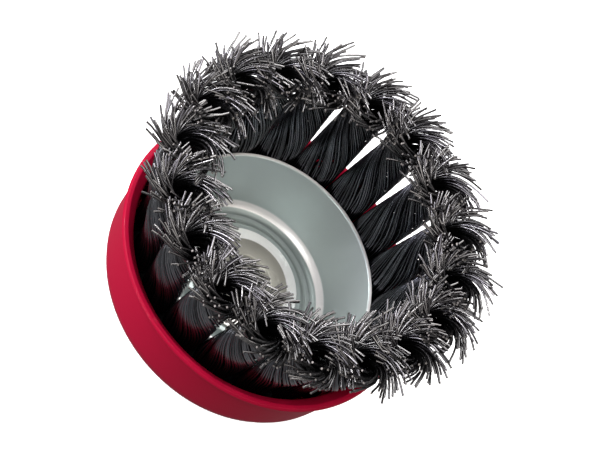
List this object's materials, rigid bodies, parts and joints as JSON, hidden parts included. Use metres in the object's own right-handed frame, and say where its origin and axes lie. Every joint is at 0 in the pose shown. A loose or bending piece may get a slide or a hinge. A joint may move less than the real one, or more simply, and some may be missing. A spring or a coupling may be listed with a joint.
{
  "type": "knotted wire cup brush",
  "caption": "Knotted wire cup brush for an angle grinder: twisted steel wire knots stand between a plated inner dish and a painted flared cup, on a threaded hexagon hub.",
  "frame": {"origin": "centre of the hub's back face, which seats on the grinder's spindle flange; the brush stands on this face", "axes": "+Z along the spindle axis, from the hub towards the wire tips; +X square to a pair of the hexagon's flats, and one knot (knot_01) points along +X"},
  "size_m": [0.0994, 0.098, 0.0676],
  "materials": {
    "red_paint": "smooth satin-gloss red stove paint on pressed steel",
    "zinc_plate": "bright zinc plate on pressed steel, smooth, with soft reflections",
    "hub_steel": "zinc-plated turned steel, satin",
    "plate_steel": "plain punched sheet steel",
    "wire_steel": "oiled dark hard-drawn steel wire with bright cut ends"
  },
  "bodies": {
    "root": {"hub_nut": "hub_steel", "outer_cup": "red_paint", "knot_ring": "plate_steel", "inner_dish": "zinc_plate", "knot_01": "wire_steel", "knot_02": "wire_steel", "knot_03": "wire_steel", "knot_04": "wire_steel", "knot_05": "wire_steel", "knot_06": "wire_steel", "knot_07": "wire_steel", "knot_08": "wire_steel", "knot_09": "wire_steel", "knot_10": "wire_steel", "knot_11": "wire_steel", "knot_12": "wire_steel", "knot_13": "wire_steel", "knot_14": "wire_steel", "knot_15": "wire_steel", "knot_16": "wire_steel", "knot_17": "wire_steel", "knot_18": "wire_steel"}
  },
  "joints": []
}
